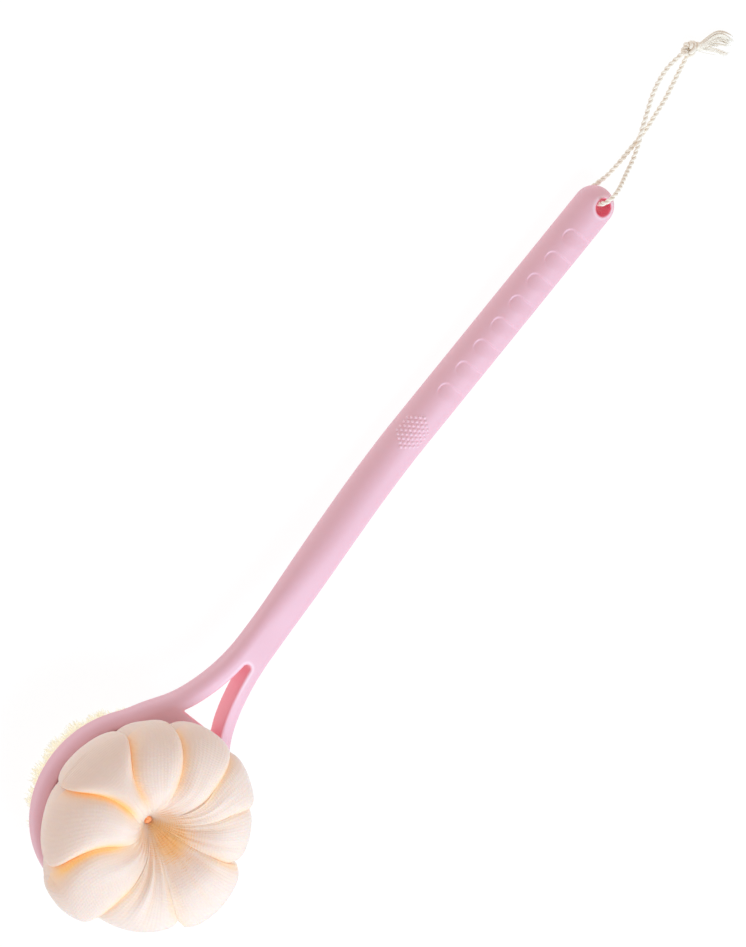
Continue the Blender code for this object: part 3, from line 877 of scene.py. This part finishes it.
def build_petal(index, material, random):
    """One pouch of the net, between two curved grooves, drawn together at the middle."""
    start, stop = GROOVES[index], GROOVES[(index + 1) % len(GROOVES)]
    turn_back = 360 if stop[0] > start[0] else 0
    first, last, crease, creases = PETALS[index]
    side = np.sin(np.linspace(-np.pi / 2, np.pi / 2, PETAL_ROWS))[:, None]
    reach, out, top, low = petal_outline()
    lean = (1 + side) / 2
    radius = first + (last - first) * lean + 0.35 * np.cos(np.pi * side) * random.normal()
    reach = reach + out * (radius - CREST_RADIUS)
    top, low = top + 0 * side, low + 0 * side
    left, right = groove_direction(start, reach), groove_direction(stop, reach)
    right = right - math.radians(turn_back)
    width = (left - right) / 2 * reach
    share = 1 - np.abs(side)
    cut = groove_cut(share, width, reach, np.where(side < 0, start[3], stop[3]))
    phase = random.random(4) * 2 * np.pi
    ripple = creases * np.pi * lean
    waves = np.sin(ripple + phase[0]) + 0.5 * np.sin(1.7 * ripple + phase[1])
    run = smooth_step((reach - 5) / 10) * (1 - smooth_step((reach - 26) / 18))
    pucker = 0.3 * np.sin(9 * np.pi * lean + phase[2] + 0.12 * reach)
    pucker = pucker * smooth_step((reach - 3) / 3) * (1 - smooth_step((reach - 8) / 9))
    swell = 0.35 * np.sin(0.16 * reach + phase[3]) * np.sin(2.2 * side + phase[1])
    over = cut + crease * waves * run
    over = over + pucker * smooth_step(width / 4) + swell * smooth_step(width / 9)
    flat = smooth_step(out * 3)
    top_r, top_z = shrink(reach, top, over, 1)
    low_r, low_z = shrink(reach, low, (cut + 0.3 * swell) * flat, -1)
    low_z = np.maximum(low_z, PUFF_LOW)
    top_r[:, -1], top_z[:, -1] = reach[:, -1] - cut[:, -1], PUFF_Z
    r = np.maximum(round_trip(top_r, low_r), PUFF_INNER * 0.8)
    z = round_trip(top_z, low_z)
    left, right = groove_direction(start, r), groove_direction(stop, r)
    right = right - math.radians(turn_back)
    half = np.maximum((left - right) / 2 - PETAL_GAP / 2 / r, 0.02)
    direction = (left + right) / 2 - side * half
    shift = 1 - smooth_step(r / 46)
    x = r * np.cos(direction) + FUNNEL_X * shift
    points = np.stack((x, r * np.sin(direction) + FUNNEL_Y * shift, z), -1)
    column = CREST_COLUMNS + RIM_COLUMNS
    faces = petal_faces(*r.shape, column)
    name = f"puff_petal_{index + 1}"
    piece = add_piece(
        name + "_net", points.reshape(-1, 3), faces, material, replaces=[name]
    )
    away = round_trip(share * width, share * width)
    strength = np.where(side < 0, start[4], stop[4])
    band = smooth_step((r - 14) / 16) * (1 - smooth_step((r - 43) / 7))
    # painted shade: orange along the grooves between the petals and along the creases, where shade
    # in the translucent net turns orange
    crease_shade = strength * (np.exp(-((away / 1.7) ** 2)) * band + 0.4 * np.exp(-((away / 4.5) ** 2)))
    streaks = round_trip(waves * run, waves * run)
    crease_shade = crease_shade + 0.5 * crease * np.clip(streaks, 0, 1)
    # painted highlight: a thin glowing line along each petal's edges at the grooves
    groove_edge_glow = np.exp(-((away / 0.5) ** 2)) * smooth_step((r - 4) / 6) * smooth_step((46 - r) / 6)
    # painted shade: orange over the gathered middle, reaching further on one side, with darker
    # orange in the net's holes there
    far_side = (0.5 + 0.5 * np.cos(direction + math.radians(93))) ** 1.5
    gather_shade = (1 - smooth_step((r - 5 - 5 * far_side) / 12)) * (0.25 + 0.75 * far_side)
    upper = np.concatenate((np.ones(column), np.zeros(column - 1)))
    add_attribute(piece, "crease_shade", (np.clip(crease_shade, 0, 1) * upper).ravel())
    add_attribute(piece, "gather_shade", (gather_shade * upper).ravel())
    add_attribute(piece, "groove_edge_glow", (groove_edge_glow * upper).ravel())
    step_r = np.diff(r, axis=1, prepend=r[:, :1])
    step_z = np.diff(z, axis=1, prepend=z[:, :1])
    along = np.cumsum(np.hypot(step_r, step_z), axis=1)
    add_attribute(piece, "along", (along / KNIT).ravel())
    add_attribute(piece, "across", (side * width[:, [CREST_COLUMNS]] / KNIT + 0 * r).ravel())


def net_material():
    m = Nodes("puff_net")
    crease_shade, gather_shade = m.attribute("crease_shade"), m.attribute("gather_shade")
    wales = m.maths("SINE", m.maths("MULTIPLY", m.attribute("across"), 2 * math.pi))
    courses = m.maths("SINE", m.maths("MULTIPLY", m.attribute("along"), 2 * math.pi))
    holes = m.maths("MULTIPLY", m.range(wales, -0.3, 0.8), m.range(courses, -0.3, 0.8))
    ribs = m.maths("MULTIPLY_ADD", m.maths("ADD", wales, courses), 0.25, 0.5)
    cream = m.mix(m.noise(28.0, 3.0), colour(0.875, 0.695, 0.60), colour(0.905, 0.73, 0.645))
    # painted shade in orange from the grooves, creases and gathered middle, which also lends a
    # faint glow below
    shade_glow = m.maths("MAXIMUM", crease_shade, m.maths("MULTIPLY", gather_shade, 0.45))
    tint = m.mix(m.maths("POWER", shade_glow, 1.2), cream, colour(0.98, 0.57, 0.22))
    faint = m.maths("MULTIPLY", ribs, m.range(m.noise(55.0, 3.0), 0.42, 0.62, 0.05, 0.3))
    tint = m.mix(faint, tint, colour(0.88, 0.68, 0.56))
    # painted shade: deeper orange over the gathered middle, and in the net's holes there
    tint = m.mix(m.range(gather_shade, 0.7, 1.0, 0.0, 0.55), tint, colour(0.93, 0.52, 0.13))
    dots = m.maths("MULTIPLY", holes, m.range(gather_shade, 0.05, 0.6))
    dots = m.maths("MULTIPLY", dots, m.range(m.noise(330.0, 2.0), 0.4, 0.6))
    tint = m.mix(dots, tint, colour(0.90, 0.43, 0.07))
    groove_edge_glow = m.maths("MULTIPLY", m.attribute("groove_edge_glow"), 0.1)
    return m.set(
        Base_Color=tint,
        Roughness=0.8,
        Subsurface_Weight=0.3,
        Subsurface_Radius=(1.0, 0.6, 0.35),
        Subsurface_Scale=0.004,
        Sheen_Weight=0.45,
        Sheen_Roughness=0.35,
        Specular_IOR_Level=0.2,
        Emission_Color=tint,
        # painted glow: the line along the petal edges, and a little glow in the orange shade
        Emission_Strength=m.maths("MAXIMUM", groove_edge_glow, m.range(shade_glow, 0.0, 1.0, 0.0, 0.15)),
        Normal=m.bump(ribs, 0.0002, 0.6),
    )


def thread_material():
    m = Nodes("puff_thread")
    tint = m.mix(m.noise(900.0, 2.0), colour(0.93, 0.34, 0.12), colour(0.97, 0.45, 0.20))
    return m.set(
        Base_Color=tint,
        Roughness=0.7,
        Sheen_Weight=0.3,
        # painted light: the thread glows faintly to stay bright
        Emission_Color=tint,
        Emission_Strength=0.15,
        Normal=m.bump(m.noise(3000.0, 2.0), 0.00008, 0.6),
    )


def add_thread(name, route, step, scale, material, node):
    line, _ = smooth_route(route, step)
    points, faces, _ = twisted_tube(line, step, sides=16, scale=scale)
    add_piece(name, points, faces, material, replaces=[node])


def build_tie():
    """The thread that comes up through the puff and is wound tight round its gathered middle."""
    material = thread_material()
    rise = ((0, 0, 22.7), (0, 0, 30), (0.4, 0.3, 36), (1.8, 1.1, 41), (FUNNEL_X, FUNNEL_Y, 44.6))
    add_thread("puff_tie_thread", rise, 0.4, 0.7, material, "puff_tie")
    t = np.linspace(0, 1, 60)[::2]
    angle = 2 * np.pi * 2.6 * t
    reach = 0.3 + 1.15 * t
    middle = np.array((FUNNEL_X, FUNNEL_Y, 45.5))
    coil = np.stack((reach * np.cos(angle), reach * np.sin(angle), -0.9 * t * t), 1) + middle
    add_thread("puff_gather_winding", coil, 0.3, 0.6, material, "puff_gather_ring")
    under = np.array(middle_of("puff_tie_knot") - HEAD) / MM
    turns = 2 * np.pi * 2.2 * t
    coil = np.stack((2.0 * np.cos(turns), 1.7 * np.sin(turns), 0.5 * (2 * t - 1)), 1) + under
    add_thread("puff_tie_winding", coil, 0.4, 0.85, material, "puff_tie_knot")


def build_puff():
    material = net_material()
    random = np.random.default_rng(PUFF_SEED)
    for index in range(len(GROOVES)):
        build_petal(index, material, random)
    build_tie()


# ---- hanging loop ---------------------------------------------------------------------------

CORD_STEP = 0.35  # between the points along the cord
PLY_OFFSET = 0.44  # from the cord's middle to the middle of each ply
PLY_RADIUS = 0.68
PLY_PITCH = 5.2  # the length in which the plies turn once
# Both routes start in the middle of the hole's depth and end in the knot
FRONT_ROUTE = (
    (331.7, 2.2, 9.2), (331.7, 2.2, 12.5), (331.9, 2.25, 15.5), (333.3, 2.25, 18.4),
    (336.1, 1.7, 19.6), (339.6, 0.7, 18.6), (343.5, -0.9, 15.0), (347.5, -2.3, 10.8),
    (351.5, -3.3, 7.2), (356.0, -3.5, 4.8), (360.0, -2.6, 3.7), (364.0, -0.9, 3.5),
    (368.0, 1.2, 3.1), (372.0, 2.7, 2.3), (376.7, 4.4, 1.5), (381.5, 6.5, 1.15),
    (386.3, 8.3, 1.15), (392.5, 9.8, 1.3), (398.3, 10.4, 2.0), (404.6, 10.0, 3.0),
    (407.6, 9.1, 3.4),
)
BACK_ROUTE = (
    (331.7, 2.2, 8.8), (331.7, 2.2, 6.6), (331.9, 2.25, 4.1), (332.9, 2.25, 2.2),
    (335.0, 2.0, 1.2), (338.6, 1.0, 1.15), (344.5, -0.6, 1.15), (351.4, -1.1, 1.15),
    (357.0, -1.1, 1.15), (362.4, -1.2, 1.15), (367.0, -1.2, 1.15), (371.2, -1.0, 1.15),
    (377.8, -0.1, 1.15), (385.2, 1.0, 1.15), (391.7, 2.6, 1.15), (397.4, 4.3, 1.5),
    (404.2, 6.6, 2.5), (407.4, 7.7, 2.9),
)
KNOT_AT = np.array((409.3, 8.4, 3.3))
TASSEL_HEADING = math.radians(-51)
TASSEL_SEED = 5


def smooth_route(points, step):
    """Evenly spaced points on a smooth curve through the route's points."""
    points = np.array(points, float)
    fine = []
    for i in range(len(points) - 1):
        before, start, stop = points[max(i - 1, 0)], points[i], points[i + 1]
        after = points[min(i + 2, len(points) - 1)]
        t = (np.arange(24) / 24)[:, None]
        place = 2 * start + (stop - before) * t
        place = place + (2 * before - 5 * start + 4 * stop - after) * t * t
        place = place + (3 * start - before - 3 * stop + after) * t * t * t
        fine.append(place / 2)
    fine = np.concatenate(fine + [points[-1:]])
    along = np.concatenate(([0], np.cumsum(np.linalg.norm(np.diff(fine, axis=0), axis=1))))
    places = np.linspace(0, along[-1], max(4, round(along[-1] / step)))
    line = np.stack([np.interp(places, along, fine[:, i]) for i in range(3)], 1)
    return line, along[-1]


def twisted_tube(line, step, sides=20, taper=0.0, scale=1.0):
    """A two-ply cord along a line: its section has two round plies that turn along it. The last
    result says how far each point is from the groove between the plies."""
    ahead = np.gradient(line, axis=0)
    ahead /= np.linalg.norm(ahead, axis=1, keepdims=True)
    side = np.cross(ahead[0], (0.3, 0.9, 0.31))
    frames = []
    for direction in ahead:
        side = side - direction * (side @ direction)
        side /= np.linalg.norm(side)
        frames.append(side.copy())
    first = np.array(frames)
    second = np.cross(ahead, first)
    turns = 2 * np.pi * np.arange(sides) / sides
    twist = 2 * np.pi * np.arange(len(line)) * step / PLY_PITCH
    away = (turns[None] - twist[:, None] + np.pi / 2) % np.pi - np.pi / 2
    radius = PLY_OFFSET * np.cos(away) + np.sqrt(PLY_RADIUS**2 - (PLY_OFFSET * np.sin(away)) ** 2)
    ends = np.minimum(np.arange(len(line)), np.arange(len(line))[::-1]) * step
    radius = radius * scale * (1 - taper * np.exp(-ends[:, None] / 0.8))
    ring = first[:, None] * np.cos(turns)[:, None] + second[:, None] * np.sin(turns)[:, None]
    points = (line[:, None] + ring * radius[..., None]).reshape(-1, 3)
    faces = []
    for i in range(len(line) - 1):
        for k in range(sides):
            a, b = i * sides + k, i * sides + (k + 1) % sides
            faces.append((a, b, b + sides, a + sides))
    faces.append(tuple(range(sides))[::-1])
    faces.append(tuple((len(line) - 1) * sides + k for k in range(sides)))
    # the cord's material paints shade in the groove between the plies from this
    lobe = np.clip(1 - np.abs(away) / (np.pi / 2), 0, 1)
    return points, faces, lobe.ravel()


def cotton_material():
    m = Nodes("cotton_cord")
    light = m.mix(m.noise(1500.0, 3.0), colour(0.97, 0.87, 0.74), colour(0.99, 0.94, 0.85))
    # painted shade: the cord is darker brown in the groove between its plies; for the tassel's
    # fibres this input carries random tones
    tint = m.mix(m.range(m.attribute("lobe"), 0.0, 0.35), colour(0.70, 0.52, 0.37), light)
    return m.set(
        Base_Color=tint,
        Roughness=0.85,
        Sheen_Weight=0.3,
        Specular_IOR_Level=0.2,
        Normal=m.bump(m.noise(2500.0, 3.0), 0.0001, 0.7),
    )


def build_strand(name, route, material):
    line, length = smooth_route(route, CORD_STEP)
    points, faces, lobe = twisted_tube(line, CORD_STEP)
    strand = add_piece(
        name + "_strand", points, faces, material, "hanging_loop", replaces=[name]
    )
    add_attribute(strand, "lobe", lobe)


def knot_frame():
    heading = np.array((math.cos(TASSEL_HEADING), math.sin(TASSEL_HEADING), 0.0))
    sideways = np.array((-heading[1], heading[0], 0.0))
    return heading, sideways, np.array((0.0, 0.0, 1.0))


def build_knot(material):
    """The doubled cord wound round itself and drawn tight."""
    heading, sideways, up = knot_frame()
    t = np.linspace(0, 1, 90)
    angle = 2 * np.pi * 1.9 * t + 2.2
    radius = 1.95 + 0.35 * np.sin(np.pi * t)
    forward = -2.7 + 5.2 * t + 0.6 * np.sin(angle + 0.9)
    line = KNOT_AT + forward[:, None] * heading
    line = line + (radius * np.cos(angle))[:, None] * sideways
    line = line + (radius * 0.8 * np.sin(angle) + 0.2)[:, None] * up
    line, _ = smooth_route(line[::3], CORD_STEP)
    points, faces, lobe = twisted_tube(line, CORD_STEP, taper=0.4, scale=1.4)
    knot = add_piece(
        "hanging_knot_winding",
        points,
        faces,
        material,
        "hanging_loop",
        replaces=["hanging_knot"],
    )
    add_attribute(knot, "lobe", lobe)
    return knot


# Clumps of fibres: direction from the knot's heading in degrees, length, how far they bow
# out on the way, count and thickness
TASSEL_CLUMPS = (
    (10, 19.5, 3.2, 24, 0.46),
    (7, 18.0, 2.3, 18, 0.44),
    (2, 12.0, 1.2, 6, 0.3),
    (-3, 17.0, 1.2, 9, 0.28),
    (-12, 17.5, 0.6, 9, 0.28),
    (-20, 12.0, 0.0, 4, 0.2),
)


def build_tassel(material):
    """The cord's frayed ends: clumps of loose fibres that fan out and lie down."""
    heading, sideways, up = knot_frame()
    random = np.random.default_rng(TASSEL_SEED)
    t = np.linspace(0, 1, 10)
    taper = np.linspace(1.0, 0.45, len(t))
    lines, radii = [], []
    for clump, (degrees, length, bow, fibres, thickness) in enumerate(TASSEL_CLUMPS):
        wave = random.random() * 2 * np.pi
        for _ in range(fibres):
            spread = math.radians(degrees + random.normal(0, 1.6))
            reach = length * (0.8 + 0.22 * random.random())
            forward = 2.2 + reach * t * math.cos(spread)
            across = reach * t * math.sin(spread) + 0.5 * np.sin(wave + 5 * t) * t
            across = across + bow * (0.9 + 0.2 * random.random()) * np.sin(np.pi * t**1.3)
            across = across + random.normal(0, 0.4) * (1 - 0.5 * t) + 0.4 * random.normal() * t * t
            height = 0.1 - 1.9 * smooth_step(t * 1.3) + random.normal(0, 0.35)
            height = height + 0.8 * t * t * random.random() + 0.3 * np.sin(wave + 4 * t + clump)
            line = KNOT_AT + forward[:, None] * heading + across[:, None] * sideways
            line = line + height[:, None] * up
            line[:, 2] = np.maximum(line[:, 2], 0.35)
            lines.append(line)
            radii.append(thickness * taper * (0.8 + 0.4 * random.random()))
    points, faces = thin_tubes(np.array(lines), np.array(radii), 5)
    tassel = add_piece(
        "hanging_tassel_fibres",
        points,
        faces,
        material,
        "hanging_loop",
        replaces=["hanging_tassel"],
    )
    shades = 0.3 + 0.5 * random.random(len(lines))
    add_attribute(tassel, "lobe", np.repeat(shades, len(points) // len(lines)))
    return tassel


def build_hanging_loop():
    material = cotton_material()
    knot = build_knot(material)
    tassel = build_tassel(material)
    build_strand("hanging_cord_front", FRONT_ROUTE, material)
    build_strand("hanging_cord_back", BACK_ROUTE, material)


make_camera()
make_lights()
make_floor()
build_hanging_loop()
build_handle()
build_bristle_side()
build_puff()
